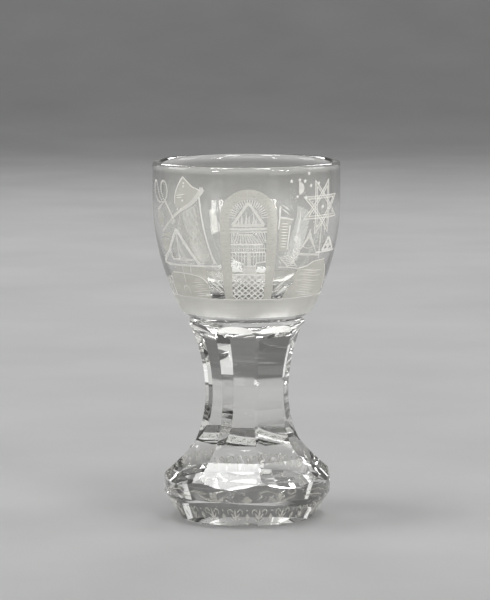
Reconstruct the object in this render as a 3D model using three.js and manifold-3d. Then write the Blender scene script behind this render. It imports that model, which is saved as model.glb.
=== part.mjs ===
// A heavy lodge goblet of clear glass: a thick-walled bowl on a waisted stem cut with eight panels, and a broad foot
// whose top is cut with eight sloping facets. The three gathers of glass meet at two level seams.
//
// Millimetres, +Z up. The origin is the centre of the foot's resting face, and the front of the bowl faces -Y.
import * as THREE from "three";
import { mergeVertices } from "three/addons/utils/BufferGeometryUtils.js";
import Module from "manifold-3d";

// The cut octagon that runs through stem and foot
const SIDES = 8;
const RIDGE_TURN = THREE.MathUtils.degToRad(9.8); // the ridge nearest the front stands this far to the right of it
const WAIST_RADIUS = 17.1; // radii of the octagon are to its ridges
const ANKLE_RADIUS = 21.2; // where the stem's panels meet the foot's facets
const SHOULDER_RADIUS = 22.4; // where the stem's panels meet the bevel under the collar

// Foot
const FOOT_HEIGHT = 31.5;
const FOOT_RADIUS = 33.75;
const FOOT_BASE_RADIUS = 27.0;
const FOOT_UNDERCUT = 10.8; // height of the cone from the resting face up to the upright side
const FOOT_SIDE = 7.0; // height of the upright side
const FOOT_BLUNTING = 0.9; // width of the steep edge band that blunts the points between the facets
const FOOT_BLUNTING_HEIGHT = 2.3;
const FOOT_RIDGE_DROP = 12.7; // how far the facets' ridges fall from the ankle to the side
const FOOT_FACET_SAG = 0.5; // hollow of a facet's length, left by the curve of the grinding wheel
const BASE_CHAMFER = 0.5;

// Stem
const STEM_HEIGHT = 50.1;
const WAIST_ABOVE_FOOT = 19.0;
const NECK_RADIUS = 22.7; // of the seam under the bowl
const COLLAR_STEP = 0.8; // how far the collar stands out past the neck
const COLLAR_BEAD = 2.6; // radius of the collar's round edge
const COLLAR_UNDERCUT = 1.5; // how far the round blank draws in under the collar
const BEVEL_BELOW_SEAM = 4.6; // from the seam under the bowl down to the lower end of the bevel
const BEVEL_LEAN = THREE.MathUtils.degToRad(40.8); // of the bevel facets from the upright

// Bowl
const BOWL_HEIGHT = 63.4;
const BOWL_RADIUS = 37.95;
const BOWL_CURVE = 45.8; // height of the curved part of the side
const BOWL_HEEL_RADIUS = 26.0; // the sharp lower corner of the side
const BOWL_HEEL_HEIGHT = 2.4; // from the seam up to that corner
const RIM_WALL = 4.0;
const RIM_ROUND = 1.6; // radius of the fire-polished edges of the rim
const HEEL_WALL = 8.5; // wall at the level of the cavity's floor
const CAVITY_FLOOR = 8.4; // glass under the cavity, above the seam
const CAVITY_CORNER = 18.0;

// Facets of the round forms
const ROUND_STEPS = 72;
const ARC_STEPS = 12;
const CORNER_STEPS = 4;

const footSeam = FOOT_HEIGHT;
const bowlSeam = footSeam + STEM_HEIGHT;
const rimLevel = bowlSeam + BOWL_HEIGHT;

const wasm = await Module();
wasm.setup();

// Points of a circle's arc in the (radius, height) plane, from one angle to another, both ends included.
function arc(centreR, centreZ, radius, from, to, steps) {
  return Array.from({ length: steps + 1 }, (_, i) => {
    const angle = from + ((to - from) * i) / steps;
    return new THREE.Vector2(centreR + radius * Math.cos(angle), centreZ + radius * Math.sin(angle));
  });
}

// A circle that is upright at (startR, startZ) and passes through (endR, endZ), with its centre on the start's level.
// The centre lies outwards where the curve swings out, as on the waist, and inwards where it draws in, as on the bowl.
function uprightCircle(startR, startZ, endR, endZ) {
  const swing = endR - startR;
  const rise = endZ - startZ;
  const radius = (swing * swing + rise * rise) / (2 * Math.abs(swing));
  return { centreR: startR + Math.sign(swing) * radius, centreZ: startZ, radius, outwards: swing > 0 };
}

// Radius of such a circle's curve at a level.
function radiusAt(circle, level) {
  const reach = Math.sqrt(circle.radius ** 2 - (level - circle.centreZ) ** 2);
  return circle.outwards ? circle.centreR - reach : circle.centreR + reach;
}

// A solid of revolution about the upright axis from its profile, given upwards on the outside.
function turned(profile) {
  return new THREE.LatheGeometry(profile, ROUND_STEPS).rotateX(Math.PI / 2);
}

// A solid with an octagonal section at each level, from rings of [ridge radius, height], lowest first.
function octagonal(rings) {
  const corners = rings.flatMap(([radius, height]) =>
    Array.from({ length: SIDES }, (_, k) => {
      const turn = RIDGE_TURN + (k * 2 * Math.PI) / SIDES;
      return [radius * Math.sin(turn), -radius * Math.cos(turn), height];
    }),
  );
  const top = (rings.length - 1) * SIDES;
  const faces = [];
  for (let k = 0; k < SIDES; k++) {
    const next = (k + 1) % SIDES;
    for (let low = 0; low < top; low += SIDES) {
      const high = low + SIDES;
      faces.push(low + k, low + next, high + next, low + k, high + next, high + k);
    }
    if (k > 0 && next > 0) faces.push(0, next, k, top, top + k, top + next);
  }
  const geometry = new THREE.BufferGeometry();
  geometry.setAttribute("position", new THREE.Float32BufferAttribute(corners.flat(), 3));
  geometry.setIndex(faces);
  return geometry;
}

function toSolid(geometry) {
  const bare = geometry.clone();
  bare.deleteAttribute("normal");
  bare.deleteAttribute("uv");
  const merged = mergeVertices(bare, 1e-4);
  const index = Array.from(merged.index.array);
  const triangles = [];
  for (let i = 0; i < index.length; i += 3) {
    const [a, b, c] = index.slice(i, i + 3);
    if (a !== b && b !== c && c !== a) triangles.push(a, b, c);
  }
  return new wasm.Manifold(
    new wasm.Mesh({
      numProp: 3,
      vertProperties: merged.attributes.position.array,
      triVerts: new Uint32Array(triangles),
    }),
  );
}

function toGeometry(solid) {
  const { vertProperties, triVerts } = solid.getMesh();
  const geometry = new THREE.BufferGeometry();
  geometry.setAttribute("position", new THREE.BufferAttribute(vertProperties, 3));
  geometry.setIndex(new THREE.BufferAttribute(triVerts, 1));
  return geometry;
}

// Cuts the turned blank to the octagon, as the grinding wheel does: where the octagon's faces leave the blank, they
// end in the scalloped arcs on the collar and on the foot's side.
function facetCut(blank, rings) {
  return toGeometry(toSolid(turned(blank)).intersect(toSolid(octagonal(rings))));
}

const waistLevel = footSeam + WAIST_ABOVE_FOOT;
const bevelLevel = bowlSeam - BEVEL_BELOW_SEAM;
const lowerPanel = uprightCircle(WAIST_RADIUS, waistLevel, ANKLE_RADIUS, footSeam);
const upperPanel = uprightCircle(WAIST_RADIUS, waistLevel, SHOULDER_RADIUS, bevelLevel);

function stemGeometry() {
  // The collar's edge is a round bead, from the neck out to the collar and in again to the blank below it.
  const collarRadius = NECK_RADIUS + COLLAR_STEP;
  const beadCentre = collarRadius - COLLAR_BEAD;
  const beadTop = Math.acos((COLLAR_BEAD - COLLAR_STEP) / COLLAR_BEAD);
  const beadFoot = Math.acos((COLLAR_BEAD - COLLAR_UNDERCUT) / COLLAR_BEAD);
  const beadLevel = bowlSeam - COLLAR_BEAD * Math.sin(beadTop);
  const blank = [
    new THREE.Vector2(0, footSeam),
    new THREE.Vector2(collarRadius - COLLAR_UNDERCUT, footSeam),
    ...arc(beadCentre, beadLevel, COLLAR_BEAD, -beadFoot, beadTop, ARC_STEPS),
    new THREE.Vector2(0, bowlSeam),
  ];
  const rings = [];
  for (let i = 0; i <= ARC_STEPS; i++) {
    const level = THREE.MathUtils.lerp(footSeam, waistLevel, i / ARC_STEPS);
    rings.push([radiusAt(lowerPanel, level), level]);
  }
  for (let i = 1; i <= ARC_STEPS; i++) {
    const level = THREE.MathUtils.lerp(waistLevel, bevelLevel, i / ARC_STEPS);
    rings.push([radiusAt(upperPanel, level), level]);
  }
  const halfSide = Math.cos(Math.PI / SIDES);
  rings.push([SHOULDER_RADIUS + (BEVEL_BELOW_SEAM * Math.tan(BEVEL_LEAN)) / halfSide, bowlSeam]);
  return facetCut(blank, rings);
}

function footGeometry() {
  const sideTop = FOOT_UNDERCUT + FOOT_SIDE;
  const chamferRun = (FOOT_RADIUS - FOOT_BASE_RADIUS) * (BASE_CHAMFER / FOOT_UNDERCUT);
  const blank = [
    new THREE.Vector2(0, 0),
    new THREE.Vector2(FOOT_BASE_RADIUS - BASE_CHAMFER, 0),
    new THREE.Vector2(FOOT_BASE_RADIUS + chamferRun, BASE_CHAMFER),
    new THREE.Vector2(FOOT_RADIUS, FOOT_UNDERCUT),
    new THREE.Vector2(FOOT_RADIUS, sideTop),
    new THREE.Vector2(FOOT_RADIUS - FOOT_BLUNTING, sideTop + FOOT_BLUNTING_HEIGHT),
    new THREE.Vector2(FOOT_RADIUS - FOOT_BLUNTING, FOOT_HEIGHT),
    new THREE.Vector2(0, FOOT_HEIGHT),
  ];
  // The facets' ridges run from the ankle out past the side, with the wheel's hollow between.
  const run = FOOT_RADIUS - ANKLE_RADIUS;
  const slope = FOOT_RIDGE_DROP / run;
  const along = Math.hypot(run, FOOT_RIDGE_DROP);
  const rings = [];
  const past = (FOOT_HEIGHT / FOOT_RIDGE_DROP) * run;
  rings.push([ANKLE_RADIUS + past, 0]);
  for (let i = 0; i <= ARC_STEPS; i++) {
    const share = 1 - i / ARC_STEPS;
    const sag = 4 * FOOT_FACET_SAG * share * (1 - share);
    const radius = ANKLE_RADIUS + run * share - (sag * FOOT_RIDGE_DROP) / along;
    rings.push([radius, FOOT_HEIGHT - slope * run * share - (sag * run) / along]);
  }
  return facetCut(blank, rings);
}

function bowlGeometry() {
  const heelLevel = bowlSeam + BOWL_HEEL_HEIGHT;
  const curveTop = heelLevel + BOWL_CURVE;
  const side = uprightCircle(BOWL_RADIUS, curveTop, BOWL_HEEL_RADIUS, heelLevel);
  const heelAngle = Math.asin((heelLevel - curveTop) / side.radius);

  // The cavity's side draws in faster than the outside, and a round corner joins it to the floor.
  const innerRadius = BOWL_RADIUS - RIM_WALL;
  const floor = bowlSeam + CAVITY_FLOOR;
  const inner = uprightCircle(innerRadius, curveTop, radiusAt(side, floor) - HEEL_WALL, floor);
  const cornerLevel = floor + CAVITY_CORNER;
  const cornerAngle = Math.asin((cornerLevel - curveTop) / (inner.radius - CAVITY_CORNER));
  const cornerCentre = inner.centreR + (inner.radius - CAVITY_CORNER) * Math.cos(cornerAngle);

  const lipRound = Math.min(RIM_ROUND, RIM_WALL / 2);
  const lip = rimLevel - lipRound;
  const profile = [
    new THREE.Vector2(0, bowlSeam),
    new THREE.Vector2(NECK_RADIUS, bowlSeam),
    ...arc(side.centreR, curveTop, side.radius, heelAngle, 0, ARC_STEPS),
    ...arc(BOWL_RADIUS - lipRound, lip, lipRound, 0, Math.PI / 2, CORNER_STEPS),
    ...arc(innerRadius + lipRound, lip, lipRound, Math.PI / 2, Math.PI, CORNER_STEPS),
    ...arc(inner.centreR, curveTop, inner.radius, 0, cornerAngle, ARC_STEPS),
    ...arc(cornerCentre, cornerLevel, CAVITY_CORNER, cornerAngle, -Math.PI / 2, 2 * CORNER_STEPS).slice(1),
    new THREE.Vector2(0, floor),
  ];
  return turned(profile);
}

const clearGlass = new THREE.MeshStandardMaterial({ color: 0xeef1ee, roughness: 0.04, metalness: 0 });
const mattedGlass = new THREE.MeshStandardMaterial({ color: 0xdad9d1, roughness: 0.45, metalness: 0 });

const goblet = new THREE.Group();
const pieces = [
  ["bowl", bowlGeometry(), mattedGlass],
  ["stem", stemGeometry(), clearGlass],
  ["foot", footGeometry(), clearGlass],
];
for (const [name, geometry, material] of pieces) {
  geometry.computeVertexNormals();
  const mesh = new THREE.Mesh(geometry, material);
  mesh.name = name;
  goblet.add(mesh);
}

export default goblet;
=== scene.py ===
"""The looks of a lodge goblet: clear cut glass, with matt wheel engraving on the bowl and the foot.

One unbroken glass body takes the place of the three CAD gathers, because their seams are fused in the real
goblet and would show inside clear glass. It is built ring by ring from the same sizes, with the rings closest
where the cut facets end in arcs. The frosted band round the bowl's base is the body's own surface. All other
engraving lies on the glass as thin matt pieces, drawn in millimetres on the unrolled bowl and foot.
"""

import math

import bmesh
import bpy
import numpy as np
from mathutils import Matrix, Vector
from mathutils.geometry import delaunay_2d_cdt


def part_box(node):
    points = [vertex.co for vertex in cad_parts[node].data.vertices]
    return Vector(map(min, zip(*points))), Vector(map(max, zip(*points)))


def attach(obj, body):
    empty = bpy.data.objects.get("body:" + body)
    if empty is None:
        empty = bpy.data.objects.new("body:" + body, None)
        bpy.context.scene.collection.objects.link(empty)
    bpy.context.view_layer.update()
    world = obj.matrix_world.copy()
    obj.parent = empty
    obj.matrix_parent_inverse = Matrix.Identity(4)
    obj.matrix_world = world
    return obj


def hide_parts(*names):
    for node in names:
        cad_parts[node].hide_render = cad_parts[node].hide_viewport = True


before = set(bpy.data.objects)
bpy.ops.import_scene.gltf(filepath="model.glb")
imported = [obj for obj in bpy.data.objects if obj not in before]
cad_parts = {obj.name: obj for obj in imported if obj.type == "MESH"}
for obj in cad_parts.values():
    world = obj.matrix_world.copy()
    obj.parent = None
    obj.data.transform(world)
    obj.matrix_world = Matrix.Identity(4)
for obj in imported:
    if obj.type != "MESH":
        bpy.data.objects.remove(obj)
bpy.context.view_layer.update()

MM = 0.001

# Camera: where the photograph was taken from, found from the ellipses of rim, heel and foot
CAMERA_PLACE = (-0.0007, -1.359, 0.2492)
CAMERA_PITCH = math.radians(6.753)
CAMERA_ROLL = math.radians(-0.147)
CAMERA_LENS = 202.7
CAMERA_FRAME = 36

# The floor lies this many metres under the foot, so that light inside the glass is still mirrored by its base
AIR_GAP = 0.0001

# Sizes in millimetres, as in the CAD model
bowl_low, bowl_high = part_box("bowl")
foot_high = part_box("foot")[1]
BOWL_SEAM = bowl_low.z / MM
RIM_LEVEL = bowl_high.z / MM
BOWL_RADIUS = bowl_high.x / MM
FOOT_SEAM = foot_high.z / MM
FOOT_RADIUS = foot_high.x / MM
SIDES = 8
RIDGE_TURN = math.radians(9.8)
WAIST_RADIUS = 17.1
ANKLE_RADIUS = 21.2
SHOULDER_RADIUS = 22.4
FOOT_BASE_RADIUS = 27.0
FOOT_UNDERCUT = 10.8
FOOT_SIDE = 7.0
FOOT_BLUNTING = 0.9
FOOT_BLUNTING_HEIGHT = 2.3
FOOT_RIDGE_DROP = 12.7
FOOT_FACET_SAG = 0.5
BASE_CHAMFER = 0.5
WAIST_ABOVE_FOOT = 19.0
NECK_RADIUS = 22.7
COLLAR_STEP = 0.8
COLLAR_BEAD = 2.6
COLLAR_UNDERCUT = 1.5
BEVEL_BELOW_SEAM = 4.6
BEVEL_LEAN = math.radians(40.8)
BOWL_CURVE = 45.8
BOWL_HEEL_RADIUS = 26.0
BOWL_HEEL_HEIGHT = 2.4
RIM_WALL = 4.0
RIM_ROUND = 1.6
HEEL_WALL = 8.5
CAVITY_FLOOR = 8.4
CAVITY_CORNER = 18.0

# How finely the glass is laid out: columns round it, and rings over each stretch of its outline
FACET_COLUMNS = 8
ARC_COLUMNS = 8
COLUMNS = SIDES * (FACET_COLUMNS + ARC_COLUMNS)
BASE_RINGS = 9
ARC_RINGS = 25
LOWER_PANEL_RINGS = 33
UPPER_PANEL_RINGS = 41
BEAD_RINGS = 31
FEW_RINGS = 5
SIDE_RINGS = 12
ENGRAVED_RINGS = 51
RIM_RINGS = 14
CAVITY_RINGS = 30
RIDGE_POINTS = 49
SHARP_ANGLE = math.radians(14)

# Rings closer than this are left out. A search for an arc's end keeps this far from the foot's seam, and
# takes this many halvings
CLOSEST_RINGS = 0.004
SEARCH_MARGIN = 5.0
HALVINGS = 60

# Smaller differences than these count as none: angles, levels in millimetres, and places in metres
ANGLE_SLACK = 1e-9
NO_ARC = 1e-6
LEVEL_SLACK = 0.01
MERGE_DISTANCE = 2e-6

# How the engraving sits in the glass: each piece's inner face below the surface, where light in the wall
# meets it, and its outer face just proud of it, the ground first and the lines over it
GROUND = (-0.03, 0.03)
FIGURE = (-0.05, 0.06)
LINE = (-0.07, 0.09)
THINNEST_CUT = 0.06

# How the engraving is laid out in triangles, in millimetres
ENGRAVED_STEP = 1.2
GRID_INSET = 0.5
ONE_POINT = 1e-4
INSIDE_ONLY = 1

# The engraving's main levels and edges: levels above the table, and arcs along the bowl's widest ring
BAND_TOP = 92.0
BAND_EDGE = 0.3
PANEL_LEFT = -6.6
PANEL_RIGHT = 8.2
PANEL_MIDDLE = (PANEL_LEFT + PANEL_RIGHT) / 2
PAVEMENT_TOP = 102.4
PEDESTAL_LEFT = -1.2
PEDESTAL_RIGHT = 3.9
ARCH_MIDDLE = (PANEL_MIDDLE, 124.8)
FRAME_WIDTH = 4.2


def upright_circle(start_r, start_z, end_r, end_z):
    """The circle that is upright at its start and passes through its end.

    Gives a function for its distance from the axis at a level, its radius, and its centre's distance.
    """
    swing = end_r - start_r
    radius = (swing**2 + (end_z - start_z) ** 2) / (2 * abs(swing))
    side = math.copysign(1.0, swing)

    def at(level):
        return start_r + side * (radius - math.sqrt(radius**2 - (level - start_z) ** 2))

    return at, radius, start_r + side * radius


WAIST_LEVEL = FOOT_SEAM + WAIST_ABOVE_FOOT
BEVEL_LEVEL = BOWL_SEAM - BEVEL_BELOW_SEAM
HEEL_LEVEL = BOWL_SEAM + BOWL_HEEL_HEIGHT
CURVE_TOP = HEEL_LEVEL + BOWL_CURVE
SIDE_TOP = FOOT_UNDERCUT + FOOT_SIDE
lower_panel = upright_circle(WAIST_RADIUS, WAIST_LEVEL, ANKLE_RADIUS, FOOT_SEAM)[0]
upper_panel = upright_circle(WAIST_RADIUS, WAIST_LEVEL, SHOULDER_RADIUS, BEVEL_LEVEL)[0]
bowl_side, BOWL_CURVE_RADIUS, BOWL_CURVE_CENTRE = upright_circle(
    BOWL_RADIUS, CURVE_TOP, BOWL_HEEL_RADIUS, HEEL_LEVEL
)
WALL_MIDDLE = bowl_side(BAND_TOP) - HEEL_WALL / 2
HALF_SIDE = math.pi / SIDES


def foot_ridge():
    """Rising levels and ridge radii of the foot's facets, from past the side up to the ankle."""
    run = FOOT_RADIUS - ANKLE_RADIUS
    along = math.hypot(run, FOOT_RIDGE_DROP)
    levels, radii = [], []
    for share in np.linspace(0, 1, RIDGE_POINTS):
        sag = 4 * FOOT_FACET_SAG * share * (1 - share)
        radii.append(ANKLE_RADIUS + run * share - sag * FOOT_RIDGE_DROP / along)
        levels.append(FOOT_SEAM - FOOT_RIDGE_DROP * share - sag * run / along)
    levels.append(0.0)
    radii.append(ANKLE_RADIUS + run * FOOT_SEAM / FOOT_RIDGE_DROP)
    return levels[::-1], radii[::-1]


FOOT_RIDGE = foot_ridge()
BEAD_CENTRE = NECK_RADIUS + COLLAR_STEP - COLLAR_BEAD
BEAD_TOP = math.acos((COLLAR_BEAD - COLLAR_STEP) / COLLAR_BEAD)
BEAD_FOOT = math.acos((COLLAR_BEAD - COLLAR_UNDERCUT) / COLLAR_BEAD)
BEAD_LEVEL = BOWL_SEAM - COLLAR_BEAD * math.sin(BEAD_TOP)


def ridge_radius(level):
    """Radius of the cut octagon's ridges at a level of foot or stem."""
    if level < FOOT_SEAM:
        return float(np.interp(level, *FOOT_RIDGE))
    if level < WAIST_LEVEL:
        return lower_panel(level)
    if level < BEVEL_LEVEL:
        return upper_panel(level)
    flare = (level - BEVEL_LEVEL) * math.tan(BEVEL_LEAN)
    return SHOULDER_RADIUS + flare / math.cos(HALF_SIDE)


def blank_radius(level):
    """Radius of the turned blank that the octagon is cut into."""
    if level <= SIDE_TOP:
        return FOOT_RADIUS
    if level < FOOT_SEAM:
        blunted = min(1.0, (level - SIDE_TOP) / FOOT_BLUNTING_HEIGHT)
        return FOOT_RADIUS - FOOT_BLUNTING * blunted
    drop = BEAD_LEVEL - level
    if drop > COLLAR_BEAD * math.sin(BEAD_FOOT):
        return NECK_RADIUS + COLLAR_STEP - COLLAR_UNDERCUT
    return BEAD_CENTRE + math.sqrt(COLLAR_BEAD**2 - drop**2)


def cut_angle(level):
    """Half the angle that each facet takes at a level: none past the arcs, and its whole eighth between."""
    flat = ridge_radius(level) * math.cos(HALF_SIDE) / blank_radius(level)
    return math.acos(min(1.0, max(math.cos(HALF_SIDE), flat)))


def crossing(low_level, high_level, test):
    """The level between two others where the test changes, found by halving."""
    start = test(low_level)
    for _ in range(HALVINGS):
        middle = (low_level + high_level) / 2
        if test(middle) == start:
            low_level = middle
        else:
            high_level = middle
    return (low_level + high_level) / 2


def cut_levels():
    """Levels of the rings through foot and stem, closest where the arcs turn."""
    full = HALF_SIDE - ANGLE_SLACK
    foot_arc = crossing(FOOT_UNDERCUT, FOOT_SEAM - SEARCH_MARGIN, lambda z: cut_angle(z) > 0)
    foot_tip = crossing(foot_arc, FOOT_SEAM - SEARCH_MARGIN, lambda z: cut_angle(z) > full)
    collar_tip = crossing(FOOT_SEAM + SEARCH_MARGIN, BEAD_LEVEL, lambda z: cut_angle(z) < full)
    collar_arc = crossing(BEVEL_LEVEL, BOWL_SEAM, lambda z: cut_angle(z) <= 0)
    levels = [SIDE_TOP, SIDE_TOP + FOOT_BLUNTING_HEIGHT]
    for t in np.linspace(0, 1, ARC_RINGS):
        levels.append(foot_arc + (foot_tip - foot_arc) * t**2)
        levels.append(collar_arc - (collar_arc - BEVEL_LEVEL) * t**2)
    levels += list(np.linspace(foot_tip, FOOT_SEAM, ARC_RINGS))
    levels += list(np.linspace(FOOT_SEAM, WAIST_LEVEL, LOWER_PANEL_RINGS))
    levels += list(np.linspace(WAIST_LEVEL, collar_tip, UPPER_PANEL_RINGS))
    levels += list(np.linspace(collar_tip, BEVEL_LEVEL, FEW_RINGS))
    levels += [BEAD_LEVEL - COLLAR_BEAD * math.sin(a) for a in np.linspace(BEAD_FOOT, -BEAD_TOP, BEAD_RINGS)]
    levels = sorted(levels)
    kept = [levels[0]]
    for level in levels[1:]:
        if level - kept[-1] > CLOSEST_RINGS:
            kept.append(level)
    return kept


def cut_ring(level):
    """The outline at a level of foot or stem: flat on the facets, and round on the blank between them."""
    angle = cut_angle(level)
    flat = ridge_radius(level) * math.cos(HALF_SIDE)
    gap = 2 * (HALF_SIDE - angle)
    between = blank_radius(level) if gap > NO_ARC else ridge_radius(level)
    ring = []
    for k in range(SIDES):
        centre = RIDGE_TURN + (2 * k + 1) * HALF_SIDE
        for t in np.linspace(-1, 1, FACET_COLUMNS, endpoint=False):
            across = math.tan(angle) * t
            radius = flat / math.cos(math.atan(across)) if angle > 0 else between
            ring.append((centre + math.atan(across), radius, level))
        for t in np.linspace(0, 1, ARC_COLUMNS, endpoint=False):
            ring.append((centre + angle + gap * t, between, level))
    return ring


def round_ring(radius, level):
    """A plain ring whose columns lie where the cut rings' do on average."""
    step = 2 * math.pi / COLUMNS
    start = RIDGE_TURN + step * ARC_COLUMNS / 2
    return [(start + step * i, radius, level) for i in range(COLUMNS)]


def turned(middle, reach, angle, stretch=1.0):
    """The point that lies a reach from the middle, at an angle, with its height stretched."""
    return (middle[0] + reach * math.cos(angle), middle[1] + reach * stretch * math.sin(angle))


def arc(middle, radius, start, end, steps):
    """Points of an arc between two angles."""
    return [turned(middle, radius, a) for a in np.linspace(start, end, steps + 1)]


def foot_underside():
    """Outline from the middle of the flat resting face to the foot's upright side."""
    chamfer_top = FOOT_BASE_RADIUS + (FOOT_RADIUS - FOOT_BASE_RADIUS) * BASE_CHAMFER / FOOT_UNDERCUT
    outline = [(r, 0.0) for r in np.linspace(0, FOOT_BASE_RADIUS - BASE_CHAMFER, BASE_RINGS)[1:]]
    radii = np.linspace(chamfer_top, FOOT_RADIUS, BASE_RINGS)
    return outline + list(zip(radii, np.linspace(BASE_CHAMFER, FOOT_UNDERCUT, BASE_RINGS)))


def cavity_outline():
    """The inside, from the rim's inner edge down to the floor."""
    inner_radius = BOWL_RADIUS - RIM_WALL
    round_foot = RIM_LEVEL - RIM_ROUND
    floor = BOWL_SEAM + CAVITY_FLOOR
    _, radius, centre = upright_circle(inner_radius, CURVE_TOP, bowl_side(floor) - HEEL_WALL, floor)
    corner_level = floor + CAVITY_CORNER
    turn = math.asin((corner_level - CURVE_TOP) / (radius - CAVITY_CORNER))
    corner = (centre + (radius - CAVITY_CORNER) * math.cos(turn), corner_level)
    outline = arc((inner_radius + RIM_ROUND, round_foot), RIM_ROUND, math.pi / 2, math.pi, RIM_RINGS)
    outline += [(inner_radius, z) for z in np.linspace(round_foot, CURVE_TOP, 8)[1:]]
    outline += arc((centre, CURVE_TOP), radius, 0, turn, CAVITY_RINGS)[1:]
    outline += arc(corner, CAVITY_CORNER, turn, -math.pi / 2, CAVITY_RINGS)[1:]
    outline += [(r, floor) for r in np.linspace(corner[0], 0, FEW_RINGS + 1)[1:-1]]
    return outline


def bowl_outline():
    """The outside, from the neck up over the heel and the side to the rim's top."""
    round_foot = RIM_LEVEL - RIM_ROUND
    heel_radii = np.linspace(NECK_RADIUS, BOWL_HEEL_RADIUS, FEW_RINGS)
    outline = list(zip(heel_radii, np.linspace(BOWL_SEAM, HEEL_LEVEL, FEW_RINGS)))
    outline += [(bowl_side(z), z) for z in np.linspace(HEEL_LEVEL, BAND_TOP, SIDE_RINGS)[1:]]
    outline += [(bowl_side(z), z) for z in np.linspace(BAND_TOP, CURVE_TOP, ENGRAVED_RINGS)[1:]]
    outline += [(BOWL_RADIUS, z) for z in np.linspace(CURVE_TOP, round_foot, SIDE_RINGS)[1:]]
    outline += arc((BOWL_RADIUS - RIM_ROUND, round_foot), RIM_ROUND, 0, math.pi / 2, RIM_RINGS)[1:]
    return outline


def goblet_rings():
    """All rings in order: the resting face, foot and stem, the bowl's outside, and its inside."""
    rings = [round_ring(r, z) for r, z in foot_underside()]
    levels = cut_levels()
    rings += [round_ring(FOOT_RADIUS, z) for z in np.linspace(FOOT_UNDERCUT, levels[0], FEW_RINGS)[1:-1]]
    rings += [cut_ring(z) for z in levels]
    rings += [round_ring(r, z) for r, z in bowl_outline()[1:]]
    rings += [round_ring(r, z) for r, z in cavity_outline()]
    return rings


def place(angle, radius, level):
    """A point of the goblet in metres: the angle runs from the front (-Y) towards +X."""
    return (radius * math.sin(angle) * MM, -radius * math.cos(angle) * MM, level * MM)


def new_piece(name, points, faces, material):
    """A piece that rides on the goblet and takes its finish from the material it is given."""
    mesh = bpy.data.meshes.new(name)
    mesh.from_pydata(points, [], faces)
    mesh.validate()
    piece = bpy.data.objects.new(name, mesh)
    bpy.context.scene.collection.objects.link(piece)
    mesh.materials.append(material)
    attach(piece, "root")
    return piece


def ring_faces(rings, looped=False):
    """Four-sided faces between neighbouring rings of points, and from the last to the first where looped."""
    faces = []
    for row in range(rings if looped else rings - 1):
        start, after = row * COLUMNS, (row + 1) % rings * COLUMNS
        for i in range(COLUMNS):
            j = (i + 1) % COLUMNS
            faces.append((start + i, start + j, after + j, after + i))
    return faces


def in_ground_band(corners):
    """Whether a face lies on the outside of the bowl's base band."""
    levels = [corner.z / MM for corner in corners]
    outside = min(math.hypot(corner.x, corner.y) for corner in corners) / MM > WALL_MIDDLE
    return outside and min(levels) > HEEL_LEVEL - LEVEL_SLACK and max(levels) < BAND_TOP + LEVEL_SLACK


def glass_body(clear, ground):
    """The whole goblet as one closed mesh, clear but for the ground band round the bowl's base."""
    rings = goblet_rings()
    points = [place(*p) for ring in rings for p in ring]
    faces = ring_faces(len(rings))
    bottom, top = len(points), len(points) + 1
    points += [place(0, 0, 0), place(0, 0, BOWL_SEAM + CAVITY_FLOOR)]
    last = (len(rings) - 1) * COLUMNS
    for i in range(COLUMNS):
        j = (i + 1) % COLUMNS
        faces.append((bottom, j, i))
        faces.append((last + i, last + j, top))
    body = new_piece("glass_body", points, faces, clear)
    mesh = body.data
    mesh.materials.append(ground)
    edit = bmesh.new()
    edit.from_mesh(mesh)
    bmesh.ops.remove_doubles(edit, verts=edit.verts, dist=MERGE_DISTANCE)
    bmesh.ops.dissolve_degenerate(edit, edges=edit.edges, dist=MERGE_DISTANCE / 2)
    edit.to_mesh(mesh)
    edit.free()
    for face in mesh.polygons:
        face.use_smooth = True
        if in_ground_band([mesh.vertices[i].co for i in face.vertices]):
            face.material_index = 1
    mesh.set_sharp_from_angle(angle=SHARP_ANGLE)
    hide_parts("bowl", "stem", "foot")


def on_bowl(along, level, lift):
    """A point over the bowl's outside in metres, from millimetres along its widest ring and up."""
    angle = along / BOWL_RADIUS
    if level >= CURVE_TOP:
        return place(angle, BOWL_RADIUS + lift, level)
    radius = bowl_side(level)
    out_r = (radius - BOWL_CURVE_CENTRE) / BOWL_CURVE_RADIUS
    out_z = (level - CURVE_TOP) / BOWL_CURVE_RADIUS
    return place(angle, radius + lift * out_r, level + lift * out_z)


def on_foot(along, level, lift):
    """A point over the foot's undercut side, from millimetres along the foot's widest ring and up."""
    angle = along / FOOT_RADIUS
    lean = math.atan2(FOOT_RADIUS - FOOT_BASE_RADIUS, FOOT_UNDERCUT)
    radius = FOOT_BASE_RADIUS + level * math.tan(lean)
    return place(angle, radius + lift * math.cos(lean), level - lift * math.sin(lean))


def bend(path, steps=6):
    """A smooth curve through a few points."""
    points = [Vector(p) for p in path]
    points = [2 * points[0] - points[1]] + points + [2 * points[-1] - points[-2]]
    curve = []
    for a, b, c, d in zip(points, points[1:], points[2:], points[3:]):
        for t in np.linspace(0, 1, steps, endpoint=False):
            curve.append(tuple(0.5 * (2 * b + (c - a) * t + (2 * a - 5 * b + 4 * c - d) * t**2
                                      + (3 * b - a - 3 * c + d) * t**3)))
    return curve + [tuple(points[-2])]


def stroke(path, start, end=None):
    """The outline of a cut along a path, whose width runs evenly from start to end."""
    end = start if end is None else end
    points = [Vector(p) for p in path]
    left, right = [], []
    for i, point in enumerate(points):
        before, after = points[max(0, i - 1)], points[min(len(points) - 1, i + 1)]
        width = max(THINNEST_CUT, start + (end - start) * i / (len(points) - 1))
        across = (after - before).orthogonal().normalized() * width / 2
        left.append(tuple(point + across))
        right.append(tuple(point - across))
    return left + right[::-1]


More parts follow.
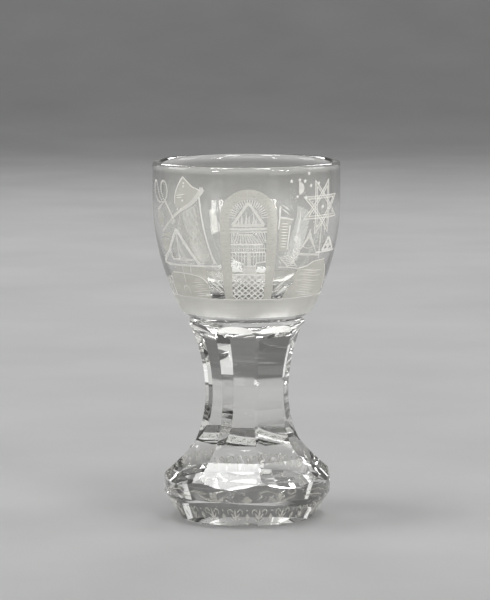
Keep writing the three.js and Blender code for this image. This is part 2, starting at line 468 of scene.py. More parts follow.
def olive(start, end, width):
    """The outline that one dip of the wheel leaves: a slim lens, pointed at both ends."""
    start, end = Vector(start), Vector(end)
    across = (end - start).orthogonal().normalized() * width / 2
    shares = np.linspace(0, 1, 9)
    left = [tuple(start.lerp(end, t) + across * math.sin(math.pi * t)) for t in shares]
    right = [tuple(start.lerp(end, t) - across * math.sin(math.pi * t)) for t in shares[1:-1]]
    return left + right[::-1]


def disc(along, level, radius, steps=16):
    """A round dot."""
    return arc((along, level), radius, 0, 2 * math.pi, steps)[:-1]


def hoop(along, level, radius, width, stretch=1.0, start=0.0, turn=2 * math.pi):
    """A ring or part of one, as a stroke along its middle line."""
    turns = np.linspace(start, start + turn, max(6, int(abs(turn) * 5)))
    return stroke([turned((along, level), radius, a, stretch) for a in turns], width)


def block(left, right, low_level, high_level):
    """An upright rectangle."""
    return [(left, low_level), (right, low_level), (right, high_level), (left, high_level)]


def sides(outline):
    """Each point of a closed outline together with the next one."""
    return zip(outline, outline[1:] + outline[:1])


def closed(path, width):
    """A line of even width round a closed outline, as one stroke for each side."""
    return [stroke([a, b], width) for a, b in sides(path)]


def spaced(outline):
    """The outline with points no further apart than the engraving's step, running anticlockwise."""
    area = sum(a[0] * b[1] - a[1] * b[0] for a, b in sides(outline))
    outline = outline if area > 0 else outline[::-1]
    dense = []
    for a, b in sides(outline):
        steps = max(1, math.ceil(math.dist(a, b) / ENGRAVED_STEP))
        dense += [(a[0] + (b[0] - a[0]) * i / steps, a[1] + (b[1] - a[1]) * i / steps) for i in range(steps)]
    return dense


def engrave(name, surface, layer, cuts, material, holes=()):
    """One thin matt piece on the glass that covers all the cuts and leaves the holes open."""
    points, outlines = [], []
    for outline in [*cuts, *holes]:
        dense = spaced(outline)
        outlines.append(list(range(len(points), len(points) + len(dense))))
        points += dense
    lowest, highest = np.min(points, axis=0), np.max(points, axis=0)
    for along in np.arange(lowest[0] + GRID_INSET, highest[0], ENGRAVED_STEP):
        for level in np.arange(lowest[1] + GRID_INSET, highest[1], 2 * ENGRAVED_STEP):
            points.append((along, level))
    laid = delaunay_2d_cdt([Vector(p) for p in points], [], outlines, INSIDE_ONLY, ONE_POINT, True)
    flat, triangles, owners = laid[0], laid[2], laid[5]
    kept = [t for t, own in zip(triangles, owners) if own and max(own) < len(cuts)]
    used = sorted({i for t in kept for i in t})
    number = {old: new for new, old in enumerate(used)}
    kept = [[number[i] for i in t] for t in kept]
    solid = [surface(*flat[i], lift) for lift in layer for i in used]
    size = len(used)
    faces = [t[::-1] for t in kept] + [[i + size for i in t] for t in kept]
    edges = {edge for t in kept for edge in sides(t)}
    faces += [[a, b, b + size, a + size] for a, b in edges if (b, a) not in edges]
    new_piece(name, solid, faces, material)


def doorway(half, foot):
    """The outline of a round-headed opening about the panel's middle."""
    head = arc(ARCH_MIDDLE, half, math.pi, 0, 32)
    return [(PANEL_MIDDLE - half, foot)] + head + [(PANEL_MIDDLE + half, foot)]


def fanlight():
    """Short spokes under the round head."""
    turns = np.radians(np.linspace(4, 176, 22))
    return [stroke([turned(ARCH_MIDDLE, reach, a) for reach in (5.1, 7.5)], 0.3, 0.5) for a in turns]


def flaming_triangle():
    """A triangle on the lintel, with flames inside."""
    cuts = closed([(0.7, 131.2), (-5.6, 122.2), (7.0, 122.2)], 1.1)
    for along, lean, top in ((-3.6, 0.5, 124.8), (-2.0, 0.2, 126.6), (-0.4, 0.3, 127.6), (1.2, -0.2, 126.0),
                             (2.4, 0.4, 127.2), (3.9, -0.2, 124.9)):
        flame = bend([(along, 122.2), (along + lean, (122.2 + top) / 2), (along + lean / 2, top)])
        cuts.append(stroke(flame, 1.1, 0.1))
    return cuts


def altar():
    """A draped altar under the lintel."""
    cuts = [block(PANEL_LEFT, PANEL_RIGHT, 120.3, 121.2), block(PANEL_LEFT, PANEL_RIGHT, 119.3, 119.75)]
    cuts.append(block(-4.2, 2.6, 118.2, 118.8))
    for share in np.linspace(0, 1, 9):
        cuts.append(stroke([(-3.8 + 6.0 * share, 118.3), (-5.2 + 10.4 * share, 114.9)], 0.35, 0.45))
    for top, foot in ((-5.9, -6.3), (-5.0, -5.9), (3.6, 6.1), (4.8, 6.9), (6.0, 7.6), (7.2, 8.0)):
        cuts.append(stroke([(top, 119.3), (foot, 115.2)], 0.4, 0.25))
    return cuts


def altar_steps():
    """Panelled steps below the altar, down to a plain pedestal."""
    cuts = [stroke([(along, 114.3), (along, 111.3)], 0.3) for along in np.arange(-6.0, 8.0, 0.95)]
    for along in np.arange(-5.9, 8.0, 1.25):
        if along < PEDESTAL_LEFT:
            foot = 109.2 - (along - PANEL_LEFT) * 0.53
        elif along > PEDESTAL_RIGHT:
            foot = 107.1
        else:
            foot = 106.0
        cuts.append(stroke([(along, 111.2), (along, foot)], 0.45, 0.3))
    cuts += [block(0.3, 1.5, 105.9, 111.2), block(-1.1, 3.8, 102.6, 105.5)]
    for level in (113.0, 109.9):
        cuts.append(stroke([(PANEL_LEFT, level), (PANEL_RIGHT, level)], 0.25))
    return cuts


def doorway_figures():
    """What stands in the doorway: fanlight, flaming triangle, and the altar on its steps."""
    return fanlight() + flaming_triangle() + altar() + altar_steps()


def doorway_lines():
    """The brighter lines of the doorway panel."""
    cuts = [
        stroke([(PANEL_LEFT, 114.6), (6.8, 114.6)], 0.5),
        stroke([(PANEL_LEFT, 111.4), (7.8, 111.4)], 0.45),
        stroke([(PANEL_LEFT, 109.3), (PEDESTAL_LEFT, 106.3)], 0.4),
        stroke([(PEDESTAL_RIGHT, 107.0), (PANEL_RIGHT, 107.6)], 0.35),
        stroke([(PEDESTAL_LEFT, 105.8), (PEDESTAL_RIGHT, 105.8)], 0.4),
    ]
    for along, top in ((PEDESTAL_LEFT, 106.2), (PEDESTAL_RIGHT, 107.0)):
        cuts.append(stroke([(along, PAVEMENT_TOP), (along, top)], 0.3))
    return cuts


def pavement():
    """A floor of lozenges: two families of slanting lines between the panel's sides."""
    low_level, high_level = BAND_TOP + BAND_EDGE, PAVEMENT_TOP
    slope, pitch, width = 0.75, 3.0, 0.42
    cuts = [stroke([(PANEL_LEFT, high_level), (PANEL_RIGHT, high_level)], 0.5)]
    reach = (high_level - low_level) / slope
    for side in (-1, 1):
        for start in np.arange(PANEL_LEFT - reach, PANEL_RIGHT + reach, pitch):
            ends = []
            for along in (start, start + side * reach):
                held = min(max(along, PANEL_LEFT), PANEL_RIGHT)
                ends.append((held, low_level + side * (held - start) * slope))
            low_end, high_end = sorted(level for _, level in ends)
            within = low_level - LEVEL_SLACK <= low_end and high_end <= high_level + LEVEL_SLACK
            if within and ends[0] != ends[1]:
                cuts.append(stroke(ends, width))
    return cuts


def trowel_blade():
    """A broad trowel blade, seen nearly flat."""
    blade = bend([(-27.6, 140.8), (-30.4, 137.0), (-32.2, 133.2), (-32.3, 129.8), (-31.2, 127.8)])
    blade += bend([(-27.6, 128.3), (-23.4, 130.4), (-20.2, 133.6), (-19.0, 135.6)])
    return [blade + [(-22.6, 136.9)]]


def trowel_lines():
    """The blade's bright edges, the shine along it and the dots on it."""
    return [
        stroke(bend([(-27.6, 140.7), (-30.4, 136.9), (-32.0, 133.2), (-32.1, 129.8)]), 0.6, 0.3),
        stroke([(-27.6, 140.7), (-22.8, 136.9), (-19.2, 135.7)], 0.35),
        olive((-31.6, 133.0), (-25.8, 134.0), 0.45),
        olive((-31.4, 132.2), (-27.4, 132.7), 0.35),
        disc(-27.2, 138.2, 0.4),
        disc(-27.3, 136.9, 0.5),
        disc(-27.8, 131.3, 0.45),
    ]


def horn():
    """A long curved horn with a rosette at its mouth."""
    curve = bend([(-42.2, 117.8), (-37.0, 121.6), (-31.6, 125.6), (-27.4, 128.0), (-23.4, 130.4),
                  (-20.4, 133.4), (-19.0, 135.2)])
    rosette = (-18.6, 135.7)
    petals = [olive(rosette, turned(rosette, 1.5, a), 0.8) for a in np.radians(range(0, 360, 60))]
    return [stroke(curve, 0.5, 2.2), disc(*rosette, 0.5)] + petals


CORD_ROUTES = (
    ((-33.4, 123.8), (-35.4, 126.6), (-38.0, 129.4), (-41.0, 132.2), (-42.4, 135.4), (-41.0, 138.2),
     (-38.6, 137.8), (-37.2, 134.8), (-38.0, 131.8), (-40.6, 129.4), (-43.6, 127.4)),
    ((-41.2, 130.4), (-43.8, 132.2), (-45.6, 135.4), (-47.4, 138.0), (-49.4, 136.6), (-49.0, 133.2),
     (-46.6, 130.8), (-43.4, 129.8), (-40.4, 129.8)),
)


def cord():
    """A looped cord with tassels."""
    cuts = [stroke(bend(route), 0.95) for route in CORD_ROUTES]
    for end, turns in ((CORD_ROUTES[0][0], (270, 295, 320)), (CORD_ROUTES[0][-1], (195, 220, 245))):
        cuts += [olive(end, turned(end, 2.2, a), 0.6) for a in np.radians(turns)]
    return cuts


def cord_lay():
    """The short slanting marks of the cord's strands."""
    cuts = []
    for route in CORD_ROUTES:
        curve = [Vector(p) for p in bend(route, 5)]
        for a, b in zip(curve, curve[1:]):
            along = (b - a).normalized()
            slant = along + along.orthogonal() * 0.9
            middle = (a + b) / 2
            cuts.append(olive(middle - slant * 0.42, middle + slant * 0.42, 0.28))
    return cuts


def stones():
    """A squared block behind the level and a rough lump beside the horn."""
    front = [(-44.2, 115.5), (-43.5, 109.5), (-40.6, 110.0), (-38.8, 111.2), (-36.9, 115.5)]
    top = [(-43.6, 116.1), (-36.6, 116.1), (-35.4, 118.3), (-41.4, 117.4)]
    lump = [(-46.0, 123.6), (-44.4, 121.3), (-42.2, 119.9), (-40.4, 121.6), (-40.5, 123.9), (-42.2, 126.0),
            (-44.4, 126.2)]
    return [front, top, lump]


def masons_level():
    """A mason's level: two legs, a bar and a plumb line, on the ground line."""
    return [
        stroke([(-31.9, 119.6), (-38.7, 110.6), (-45.2, 105.9)], 1.2, 1.3),
        stroke([(-31.9, 119.6), (-26.0, 111.6), (-21.0, 105.6)], 1.2, 1.5),
        stroke([(-38.6, 110.5), (-36.4, 107.4)], 1.0, 0.8),
        stroke([(-36.8, 107.3), (-24.4, 107.6)], 0.65),
        stroke([(-31.9, 118.6), (-32.3, 109.6)], 0.35, 0.5),
        [(-32.3, 110.2), (-31.6, 108.6), (-32.3, 107.6), (-33.0, 108.6)],
        stroke([(-45.8, 105.5), (-41.0, 104.9), (-36.0, 105.0), (-11.0, 105.6)], 0.9, 0.6),
    ]


SHEAF_HEADS = ((-30.4, 125.8), (-20.8, 130.6))
SHEAF_FEET = ((-22.0, 107.0), (-15.0, 106.6))
SHEAF_STALKS = 11


def sheaf():
    """A sheaf of corn: slim ears and stalks that slant down and draw together towards the ground."""
    cuts = []
    for i, share in enumerate(np.linspace(0, 1, SHEAF_STALKS)):
        head = Vector(SHEAF_HEADS[0]).lerp(Vector(SHEAF_HEADS[1]), share)
        foot = Vector(SHEAF_FEET[0]).lerp(Vector(SHEAF_FEET[1]), share)
        along = (foot - head).normalized()
        aside = along.orthogonal()
        bow = aside * -0.7
        stalk = bend([head, head.lerp(foot, 0.35) + bow, head.lerp(foot, 0.7) + bow, foot], 8)
        cuts.append(stroke(stalk, 0.16, 0.3))
        # Five to seven ears to a stalk, staggered from one stalk to the next
        for k in range(5 + (i * 5) % 3):
            down = 0.02 + 0.105 * k + 0.03 * ((i * 3) % 4)
            start = Vector(stalk[0]).lerp(foot, down) + bow * min(1.0, k / 2)
            lean = along * 2.3 + aside * (0.45 if (i + k) % 2 else -0.55)
            cuts.append(olive(start, start + lean, 0.42))
    return cuts


def staffs():
    """Two long staffs beside the sheaf."""
    first = bend([(-19.6, 132.9), (-18.9, 127.5), (-17.9, 121.5), (-16.4, 114.5), (-13.9, 106.4)])
    second = bend([(-18.3, 121.8), (-17.0, 117.0), (-15.2, 110.5), (-13.0, 106.3)])
    return [stroke(first, 0.6), stroke(second, 0.35)]


def left_ground():
    """The ground on the left, cut matt, with its rise and a notch at a stone."""
    edge = bend([(-44.8, BAND_TOP), (-44.2, 96.2), (-42.8, 100.0), (-40.0, 102.0), (-37.4, 103.2),
                 (-36.2, 104.8)])
    return [edge + [(-18.5, 105.2), (-18.3, BAND_TOP)]]


def left_ground_lines():
    """Bright lines and furrows on the left ground, and the deep cuts between it and the doorway."""
    ridge = bend([(-40.0, 101.7), (-34.0, 101.9), (-27.0, 101.6), (-21.6, 100.6), (-18.7, 98.4)])
    cuts = [
        stroke(bend([(-44.5, 92.3), (-43.9, 96.2), (-42.5, 99.9)]), 0.9, 0.4),
        stroke(ridge, 0.3, 0.5),
        olive((-31.6, 104.8), (-31.9, 97.4), 0.5),
        olive((-26.6, 104.8), (-26.9, 101.8), 0.45),
        hoop(-32.6, 94.6, 2.3, 0.35, 0.85, math.radians(-30), math.radians(240)),
    ]
    for i, level in enumerate(np.arange(93.1, 100.6, 0.75)):
        start = -27.4 + 1.3 * math.sin(2.4 * i)
        cuts.append(olive((start, level), (start + 7.2 + 1.2 * math.cos(1.7 * i), level + 0.1), 0.2))
    cuts += [olive((-16.2, 102.0), (-10.9, 96.4), 1.0), olive((-18.0, 100.2), (-10.9, 94.6), 0.65)]
    return cuts + [olive((-17.9, 98.4), (-12.6, 94.5), 0.3)]


STAR_MIDDLE = (35.0, 128.3)
STAR_REACH = 10.2
STAR_EDGE = 1.4


def star_tips(reach):
    """The eight points, in the order in which one line joins them that skips two points at a time."""
    return [turned(STAR_MIDDLE, reach, math.pi / 8 * (1 + 6 * i)) for i in range(8)]


def great_star():
    """The star as one broad band from point to point."""
    tips = star_tips(STAR_REACH)
    return closed(tips, 1.1) + [disc(*tip, 0.55) for tip in tips]


def great_star_lines():
    """The band's two edges and the boss in its middle."""
    edges = closed(star_tips(STAR_REACH + STAR_EDGE), 0.28) + closed(star_tips(STAR_REACH - STAR_EDGE), 0.22)
    return edges + [disc(*STAR_MIDDLE, 0.8), hoop(*STAR_MIDDLE, 2.3, 0.25)]


def small_stars():
    """Five-pointed stars, each with one point up."""
    middles = ((18.5, 139.2), (22.3, 139.6), (24.9, 139.0), (28.0, 137.1), (26.9, 142.0), (32.6, 137.8),
               (21.2, 133.0), (25.4, 132.5))
    points, reaches = 5, (0.9, 0.9 * 0.42)
    turns = [math.pi / 2 + math.pi * i / points for i in range(2 * points)]
    return [[turned(middle, reaches[i % 2], a) for i, a in enumerate(turns)] for middle in middles]


def moon():
    """A crescent between two arcs."""
    return [arc((22.9, 136.3), 2.6, -1.95, 1.95, 21) + arc((21.9, 136.3), 2.6, 1.55, -1.55, 19)]


def compasses():
    """A pair of compasses, standing open on the ground line."""
    return [
        disc(28.0, 117.3, 1.1),
        block(27.5, 28.5, 118.0, 119.6),
        stroke([(28.0, 117.3), (22.6, 110.6)], 1.5, 0.3),
        stroke([(28.0, 117.3), (32.8, 110.4)], 1.5, 0.3),
        hoop(28.0, 117.3, 5.2, 0.35, 1.0, math.radians(230), math.radians(76)),
    ]


def tablet_field():
    """The tablet's matt face."""
    return [[(13.5, 125.2), (19.4, 124.2), (18.2, 121.8), (17.4, 111.4), (13.2, 111.8)]]


def tablet_lines():
    """A standing tablet with plain ruled lines."""
    cuts = [
        stroke([(13.6, 129.4), (13.4, 125.0), (13.0, 120.4)], 0.8, 0.3),
        stroke([(13.5, 125.1), (16.5, 124.7), (19.4, 124.0)], 0.65, 0.5),
        olive((14.2, 130.3), (17.6, 127.8), 0.55),
        olive((14.2, 128.7), (17.6, 126.1), 0.45),
        stroke([(18.0, 121.9), (17.6, 117.0), (17.2, 112.2)], 0.55, 0.4),
    ]
    for i, level in enumerate(np.arange(113.4, 123.6, 1.15)):
        cuts.append(olive((13.9, level), (17.0 + 0.06 * i, level - 0.15), 0.32))
    return cuts


def plumb():
    """A plumb line with its bob."""
    return [
        stroke([(22.8, 126.9), (22.4, 123.6)], 0.35, 0.6),
        disc(22.3, 123.5, 0.55),
        olive((22.4, 123.4), (21.2, 118.4), 1.1),
        stroke([(21.3, 118.8), (21.3, 117.6)], 0.3),
        [(21.3, 118.0), (19.8, 116.2), (21.3, 114.9), (22.8, 116.2)],
    ]


def ladder():
    """A short ladder leaning under the ground line."""
    cuts = [stroke([(13.5, 109.6), (18.4, 105.2)], 0.5), stroke([(18.0, 110.4), (22.9, 105.0)], 0.5)]
    for share in np.linspace(0.12, 0.9, 6):
        start = (13.5 + 4.9 * share, 109.6 - 4.4 * share)
        cuts.append(stroke([start, (start[0] + 4.5, start[1] + 0.8 - share)], 0.3))
    cuts.append(stroke([(13.8, 105.2), (18.0, 105.0), (24.6, 104.0)], 0.5))
    return cuts


def right_base():
    """The ground line on the right and the two staffs that stand on it."""
    return [
        stroke([(21.4, 110.2), (28.6, 109.5), (35.6, 108.9)], 0.9, 0.8),
        stroke(bend([(34.6, 121.4), (34.7, 116.0), (35.1, 111.4), (35.8, 107.4)]), 0.7, 0.9),
        stroke([(36.6, 121.2), (37.7, 117.0)], 0.6, 0.3),
    ]


def pediment():
    """A triangle with rays over the ground line."""
    cuts = closed([(41.3, 115.6), (37.2, 110.5), (47.6, 110.3)], 1.2)
    middle = (41.6, 110.9)
    for turn in np.radians((40, 62, 84, 106, 128)):
        cuts.append(olive(middle, turned(middle, 3.4, turn, 3.2 / 3.4), 0.55))
    cuts.append(stroke([(33.0, 110.0), (50.0, 109.9)], 0.6))
    return cuts


def right_ground():
    """The ground on the right, cut matt, falling away at the side."""
    rise = bend([(24.4, 104.2), (29.0, 105.0), (33.0, 106.6), (36.0, 107.0)])
    fall = bend([(41.0, 107.0), (42.3, 104.8), (44.8, 102.4), (47.6, 98.2), (49.9, 94.4), (50.4, BAND_TOP)])
    return [rise + fall + [(18.0, BAND_TOP), (19.9, 95.0), (22.6, 98.4), (23.0, 101.4)]]


def right_ground_lines():
    """Bright lines and furrows on the right ground, and the deep cuts between it and the doorway."""
    cuts = [
        stroke(bend([(42.3, 104.6), (44.7, 102.2), (47.4, 98.0), (49.6, 94.2)]), 0.4, 0.6),
        stroke(bend([(24.4, 104.2), (29.0, 105.0), (33.0, 106.5), (41.0, 106.9)]), 0.35),
    ]
    for i, level in enumerate(np.arange(93.0, 103.6, 0.7)):
        start = 25.6 + 1.6 * math.sin(1.9 * i)
        cuts.append(olive((start, level), (start + 12.0 + 3.0 * math.cos(2.3 * i), level - 0.35), 0.2))
    cuts += [olive((14.4, 93.8), (20.4, 97.0), 1.0), olive((13.3, 95.8), (18.0, 99.3), 0.6)]
    return cuts + [olive((13.3, 94.8), (17.0, 97.2), 0.35), olive((15.5, 92.5), (17.6, 92.8), 0.6)]


def engraved_bowl(ground, figure, line, faint):
    """The engraving on the bowl's front: each piece but the frame has the name of what draws it."""
    half = (PANEL_RIGHT - PANEL_LEFT) / 2
    frame_outline, opening = doorway(half + FRAME_WIDTH, BAND_TOP), doorway(half, BAND_TOP + BAND_EDGE)
    engrave("doorway_frame", on_bowl, GROUND, [frame_outline], ground, [opening])
    for draw, layer, material in (
        (doorway_figures, FIGURE, figure),
        (doorway_lines, LINE, line),
        (pavement, FIGURE, line),
        (trowel_blade, GROUND, ground),
        (trowel_lines, LINE, line),
        (horn, FIGURE, figure),
        (cord, FIGURE, figure),
        (cord_lay, LINE, line),
        (stones, GROUND, ground),
        (masons_level, LINE, line),
        (sheaf, FIGURE, ground),
        (staffs, LINE, line),
        (left_ground, GROUND, ground),
        (left_ground_lines, LINE, line),
        (great_star, GROUND, faint),
        (great_star_lines, LINE, line),
        (small_stars, FIGURE, line),
        (moon, FIGURE, figure),
        (compasses, FIGURE, figure),
        (tablet_field, GROUND, ground),
        (tablet_lines, LINE, line),
        (plumb, LINE, line),
        (ladder, LINE, figure),
        (right_base, FIGURE, figure),
        (pediment, LINE, line),
        (right_ground, GROUND, ground),
        (right_ground_lines, LINE, line),
    ):
        engrave(draw.__name__, on_bowl, layer, draw(), material)


def matt_band(name, levels, layer, material):
    """A closed ring of ground glass all round the bowl, between two levels."""
    rows = [(level, layer[1]) for level in levels] + [(level, layer[0]) for level in reversed(levels)]
    steps = [2 * math.pi * BOWL_RADIUS * i / COLUMNS for i in range(COLUMNS)]
    points = [on_bowl(along, level, lift) for level, lift in rows for along in steps]
    new_piece(name, points, ring_faces(len(rows), True), material)


def foot_border():
    """A running border of upright leaves, lozenges and beads round the foot's undercut side."""
    cuts = []
    repeats = 20
    pitch = 2 * math.pi * FOOT_RADIUS / repeats
    for i in range(repeats):
        middle = (i + 0.5) * pitch - math.pi * FOOT_RADIUS
        cuts.append(olive((middle, 2.2), (middle, 8.2), 0.95))
        for side in (-1, 1):
            cuts.append(olive((middle, 3.0), (middle + side * 1.9, 6.2), 0.7))
            cuts.append(olive((middle + side * 0.6, 2.6), (middle + side * 2.6, 3.9), 0.55))
            curl = bend([(middle + side * 1.0, 6.6), (middle + side * 2.1, 7.9),
                         (middle + side * 3.2, 7.0), (middle + side * 2.9, 5.6)])
            cuts.append(stroke(curl, 0.5, 0.25))
        between = middle + pitch / 2
        cuts.append([(between, 2.6), (between + 0.9, 4.4), (between, 6.2), (between - 0.9, 4.4)])
        cuts += [disc(between, 7.4, 0.4, steps=10), disc(between, 1.5, 0.35, steps=10)]
    return cuts


# Glass: how strongly it bends light, its faint tint, and its roughness where it is handled and where it rubs
GLASS_IOR = 1.52
GLASS_TINT = (0.982, 0.98, 0.958, 1)
HANDLED_ROUGHNESS = 0.012
WORN_ROUGHNESS = 0.25

# Distances in metres from the resting face's edge: full wear up to the first, and none past the second
WEAR_REACH = (0.0001, 0.0004)

# After more mirrorings than this the glass lets light out with a loss, because the renderer stops at four,
# and the deep facets would turn black
MOST_MIRRORINGS = 2.5
LOSS_TINT = (0.45, 0.45, 0.44, 1)

# The values between which nearly all of a noise lies
NOISE_LOW = 0.3
NOISE_HIGH = 0.7


def feed(tree, socket, value):
    """Gives a node's input a constant, or links another node's output to it."""
    if isinstance(value, bpy.types.NodeSocket):
        tree.links.new(value, socket)
    else:
        socket.default_value = value


def add_node(tree, kind, *inputs, **values):
    """A shader node: its first inputs in order, then its properties and its other inputs by name."""
    node = tree.nodes.new(kind)
    for socket, value in zip(node.inputs, inputs):
        feed(tree, socket, value)
    for name, value in values.items():
        if hasattr(node, name):
            setattr(node, name, value)
        else:
            feed(tree, node.inputs[name.replace("_", " ").title()], value)
    return node


def new_material(name):
    """A material, its node tree, its main shader, and the place on the object that its patterns follow."""
    material = bpy.data.materials.new(name)
    material.use_nodes = True
    tree = material.node_tree
    where = add_node(tree, "ShaderNodeTexCoord").outputs["Object"]
    return material, tree, tree.nodes["Principled BSDF"], where


def noise_range(tree, where, scale, detail, low=0.0, high=1.0, stretch=(1, 1, 1)):
    """A noise in object space, mapped to a range of values: the scale is in waves to the metre."""
    place_from = add_node(tree, "ShaderNodeMapping", where, scale=stretch).outputs["Vector"]
    noise = add_node(tree, "ShaderNodeTexNoise", place_from, scale=scale, detail=detail).outputs["Fac"]
    spread = add_node(tree, "ShaderNodeMapRange", noise, NOISE_LOW, NOISE_HIGH, low, high)
    return spread.outputs["Result"]


def colour_range(tree, share, dark, pale):
    """A colour between two others."""
    colours = add_node(tree, "ShaderNodeValToRGB", share)
    colours.color_ramp.elements[0].color = (*dark, 1)
    colours.color_ramp.elements[1].color = (*pale, 1)
    return colours.outputs["Color"]


def add_bump(tree, shader, height, strength, distance):
    """Makes a shader's surface uneven: the distance is the bumps' height in metres."""
    bump = add_node(tree, "ShaderNodeBump", strength=strength, distance=distance)
    tree.links.new(height, bump.inputs["Height"])
    tree.links.new(bump.outputs["Normal"], shader.inputs["Normal"])


def mix_shaders(tree, share, first, second):
    """Two shaders mixed, by the share of the second."""
    mix = add_node(tree, "ShaderNodeMixShader", share, first.outputs["BSDF"], second.outputs["BSDF"])
    return mix.outputs["Shader"]


def foot_wear(tree, where):
    """The roughness of the ring round the resting face that rubs the table."""
    flat = add_node(tree, "ShaderNodeVectorMath", where, (1, 1, 0), operation="MULTIPLY")
    outwards = add_node(tree, "ShaderNodeVectorMath", flat.outputs["Vector"], operation="NORMALIZE")
    reach = (FOOT_BASE_RADIUS - BASE_CHAMFER) * MM
    edge = add_node(tree, "ShaderNodeVectorMath", outwards.outputs["Vector"], operation="SCALE", scale=reach)
    distance = add_node(tree, "ShaderNodeVectorMath", edge.outputs["Vector"], where, operation="DISTANCE")
    full, none = WEAR_REACH
    wear = add_node(tree, "ShaderNodeMapRange", distance.outputs["Value"], none, full, 0.0, WORN_ROUGHNESS)
    return wear.outputs["Result"]


def clear_glass():
    """Heavy clear glass: faint waves from the mould, fine handling marks, and wear where the foot rubs."""
    material, tree, shader, where = new_material("clear_glass")
    shader.inputs["Base Color"].default_value = GLASS_TINT
    shader.inputs["IOR"].default_value = GLASS_IOR
    shader.inputs["Transmission Weight"].default_value = 1.0
    marks = noise_range(tree, where, scale=900, detail=6, high=HANDLED_ROUGHNESS)
    rough = add_node(tree, "ShaderNodeMath", marks, foot_wear(tree, where), operation="MAXIMUM")
    tree.links.new(rough.outputs["Value"], shader.inputs["Roughness"])
    waves = noise_range(tree, where, scale=70, detail=1, stretch=(1, 1, 0.5))
    add_bump(tree, shader, waves, strength=0.003, distance=0.0002)
    mirrored = add_node(tree, "ShaderNodeLightPath").outputs["Glossy Depth"]
    lost = add_node(tree, "ShaderNodeMath", mirrored, MOST_MIRRORINGS, operation="GREATER_THAN")
    out = add_node(tree, "ShaderNodeBsdfTransparent", LOSS_TINT)
    surface = mix_shaders(tree, lost.outputs["Value"], shader, out)
    tree.links.new(surface, tree.nodes["Material Output"].inputs["Surface"])
    return material


def ground_glass(name, dark, pale, clear_share, frosted=False):
    """Glass cut matt by the wheel: pale, grainy, finely streaked along the cut, and a little see-through.

    A thin piece on the glass lets the clear share of the light pass. A frosted wall bends and blurs it.
    """
    material, tree, shader, where = new_material(name)
    shader.inputs["Roughness"].default_value = 0.75
    shader.inputs["Specular IOR Level"].default_value = 0.3
    streaks = noise_range(tree, where, scale=120, detail=5, stretch=(1, 1, 16))
    colour = colour_range(tree, streaks, dark, pale)
    tree.links.new(colour, shader.inputs["Base Color"])
    add_bump(tree, shader, noise_range(tree, where, scale=2600, detail=3), strength=0.35, distance=0.0001)
    glow = add_node(tree, "ShaderNodeBsdfTranslucent", colour)
    if frosted:
        glow_share = 0.6
        through = add_node(tree, "ShaderNodeBsdfGlass", roughness=0.6)
        through.inputs["IOR"].default_value = GLASS_IOR
    else:
        glow_share = 0.3
        through = add_node(tree, "ShaderNodeBsdfTransparent")
    matt = mix_shaders(tree, glow_share, shader, glow)
    gaps = noise_range(tree, where, 1500, 2, clear_share * 0.8, clear_share * 1.2, stretch=(1, 1, 3))
    cover = add_node(tree, "ShaderNodeMixShader", gaps, matt, through.outputs["BSDF"])
    tree.links.new(cover.outputs["Shader"], tree.nodes["Material Output"].inputs["Surface"])
    return material


def studio_paper():
    """Pale grey paper with a fine fibre and faint clouding."""
    material, tree, shader, where = new_material("studio_paper")
    shader.inputs["Roughness"].default_value = 0.9
    shader.inputs["Specular IOR Level"].default_value = 0.1
    clouds = noise_range(tree, where, scale=9, detail=4)
    colour = colour_range(tree, clouds, (0.315, 0.315, 0.315), (0.345, 0.345, 0.345))
    tree.links.new(colour, shader.inputs["Base Color"])
    add_bump(tree, shader, noise_range(tree, where, scale=700, detail=4), strength=0.15, distance=0.0002)
    return material


def add_camera():
    """The camera, level with the horizon but for its pitch and a slight roll."""
    camera = bpy.data.objects.new("camera", bpy.data.cameras.new("camera"))
    bpy.context.scene.collection.objects.link(camera)
    camera.data.sensor_fit = "VERTICAL"
    camera.data.sensor_height = CAMERA_FRAME
    camera.data.lens = CAMERA_LENS
    turn = Matrix.Rotation(math.pi / 2 - CAMERA_PITCH, 4, "X") @ Matrix.Rotation(CAMERA_ROLL, 4, "Z")
    camera.matrix_world = Matrix.Translation(CAMERA_PLACE) @ turn
    bpy.context.scene.camera = camera


def add_stage():
    """A floor that curves up into a backdrop, wide enough for views from any side."""
    front, back, half_width, sweep, top = -3.0, 2.0, 5.0, 1.2, 4.5
    outline = [(front, -AIR_GAP), (back, -AIR_GAP)]
    for a in np.linspace(0, math.pi / 2, 25)[1:]:
        outline.append((back + sweep * math.sin(a), sweep * (1 - math.cos(a)) - AIR_GAP))
    outline.append((back + sweep, top))
    points = [(x, y, z) for y, z in outline for x in (-half_width, half_width)]
    faces = [(2 * i, 2 * i + 1, 2 * i + 3, 2 * i + 2) for i in range(len(outline) - 1)]
    mesh = bpy.data.meshes.new("floor")
    mesh.from_pydata(points, [], faces)
    for face in mesh.polygons:
        face.use_smooth = True
    mesh.materials.append(studio_paper())
    floor = bpy.data.objects.new("floor", mesh)
    bpy.context.scene.collection.objects.link(floor)


# What the soft boxes face, and the even light all round, from 0 to 1
GOBLET_MIDDLE = (0, 0, 0.08)
ROOM_LIGHT = 0.22


def add_lamp(name, place_at, size, power, turn=0, aim=GOBLET_MIDDLE):
    """A soft box at a place, aimed at a point, and turned about its own axis by degrees."""
    data = bpy.data.lights.new(name, "AREA")
    data.shape = "RECTANGLE"
    data.size, data.size_y = size
    data.energy = power
    lamp = bpy.data.objects.new(name, data)
    facing = (Vector(aim) - Vector(place_at)).to_track_quat("-Z", "Y").to_matrix().to_4x4()
    lamp.matrix_world = Matrix.Translation(place_at) @ facing @ Matrix.Rotation(math.radians(turn), 4, "Z")
    bpy.context.scene.collection.objects.link(lamp)


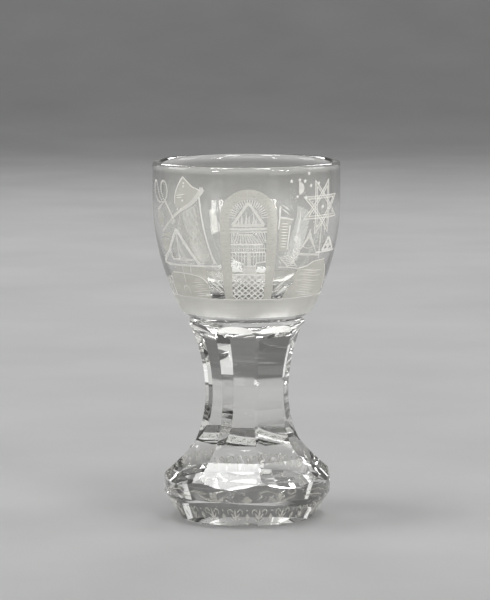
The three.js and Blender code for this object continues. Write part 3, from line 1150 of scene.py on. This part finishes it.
def add_light():
    """The room's even light, the soft boxes that the glass mirrors, and the one that lights the backdrop."""
    world = bpy.data.worlds.new("studio")
    bpy.context.scene.world = world
    world.use_nodes = True
    background = world.node_tree.nodes["Background"]
    background.inputs["Color"].default_value = (ROOM_LIGHT, ROOM_LIGHT, ROOM_LIGHT, 1)
    background.inputs["Strength"].default_value = 1.0
    add_lamp("overhead_right", (0.37, -0.45, 1.62), (0.36, 1.15), 11, -25)
    add_lamp("overhead_left", (-0.48, -0.07, 1.6), (0.4, 0.56), 8, 60)
    add_lamp("overhead_side", (0.94, 0.23, 1.5), (0.3, 0.3), 0.7)
    add_lamp("fill_front", (0.0, -1.75, 0.75), (1.6, 1.4), 8)
    add_lamp("window_front_right", (1.06, -1.2, 0.25), (0.64, 0.23), 10)
    add_lamp("window_front_left", (-1.0, -1.25, 0.25), (0.3, 0.25), 5.5)
    add_lamp("window_left", (-1.6, 0.15, 0.65), (0.9, 1.0), 9)
    add_lamp("window_right", (1.6, 0.15, 0.65), (0.9, 1.0), 8)
    add_lamp("strip_left", (-1.5, -0.8, 0.5), (0.2, 0.85), 0.42)
    add_lamp("strip_right", (1.5, -0.8, 0.5), (0.2, 0.85), 0.42)
    add_lamp("strip_back_left", (-1.31, 1.51, 0.43), (0.2, 0.75), 0.4)
    add_lamp("strip_back_right", (1.23, 1.55, 0.47), (0.22, 0.9), 0.42, 27)
    add_lamp("backdrop_wash", (0.0, 1.3, 2.3), (2.0, 0.4), 8, aim=(0.0, 3.2, 1.0))
    add_lamp("overhead_back", (0.15, 0.9, 1.35), (1.3, 0.7), 2)
    add_lamp("low_back_left", (-0.56, 1.5, 1.02), (0.7, 0.3), 7)
    add_lamp("low_back_right", (0.56, 1.5, 1.02), (0.7, 0.3), 7)


bpy.context.scene.view_settings.view_transform = "Standard"
add_camera()
add_stage()
add_light()
matt_ground = ground_glass("ground_glass", (0.70, 0.688, 0.635), (0.77, 0.757, 0.70), 0.45)
ground_wall = ground_glass("ground_wall", (0.79, 0.778, 0.71), (0.86, 0.848, 0.78), 0.5, frosted=True)
matt_figure = ground_glass("engraved_figure", (0.83, 0.818, 0.775), (0.93, 0.918, 0.875), 0.3)
bright_cut = ground_glass("engraved_line", (0.90, 0.89, 0.85), (0.97, 0.96, 0.93), 0.12)
faint_cut = ground_glass("shallow_engraving", (0.69, 0.678, 0.63), (0.81, 0.798, 0.75), 0.5)
glass_body(clear_glass(), ground_wall)
engraved_bowl(matt_ground, matt_figure, bright_cut, faint_cut)
matt_band("base_band_edge", (BAND_TOP - BAND_EDGE, BAND_TOP), LINE, bright_cut)
engrave("foot_border", on_foot, FIGURE, foot_border(), faint_cut)
